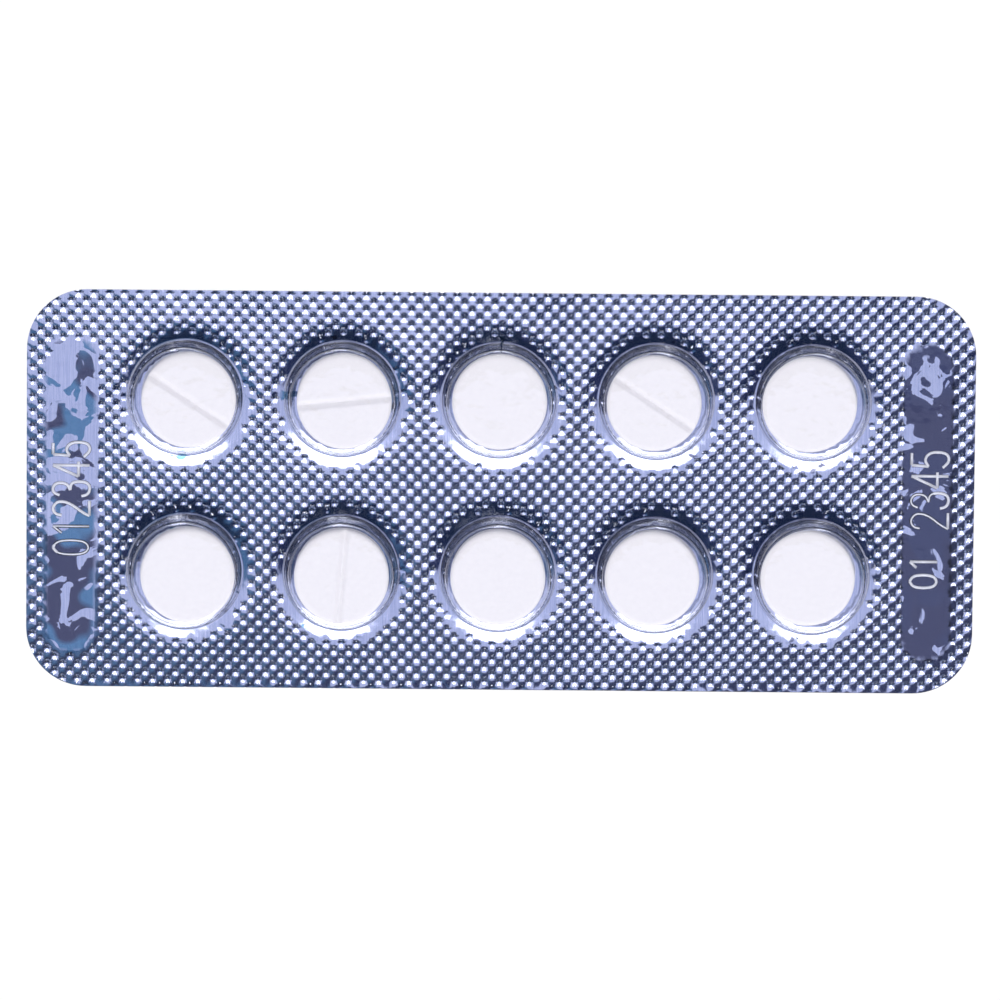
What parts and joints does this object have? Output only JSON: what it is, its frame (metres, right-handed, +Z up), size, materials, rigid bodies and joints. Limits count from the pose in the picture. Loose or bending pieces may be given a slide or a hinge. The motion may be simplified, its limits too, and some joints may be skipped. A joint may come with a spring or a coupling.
{
  "type": "pill blister pack",
  "caption": "Flat pack of round tablets, each in a clear domed pocket of stiff film sealed to a sheet of aluminium foil that the tablet is pushed out through.",
  "frame": {"origin": "centre of the foil's underside, on the surface that the pack lies on", "axes": "+X along the pack's length, +Y across it, +Z up through the pockets"},
  "size_m": [0.095, 0.04, 0.0042],
  "materials": {
    "foil": "polished",
    "clear_film": "gloss",
    "tablet": "matte"
  },
  "bodies": {
    "root": {"lidding_foil": "foil", "blister_film": "clear_film", "tablet_1": "tablet", "tablet_2": "tablet", "tablet_3": "tablet", "tablet_4": "tablet", "tablet_5": "tablet", "tablet_6": "tablet", "tablet_7": "tablet", "tablet_8": "tablet", "tablet_9": "tablet", "tablet_10": "tablet"}
  },
  "joints": []
}
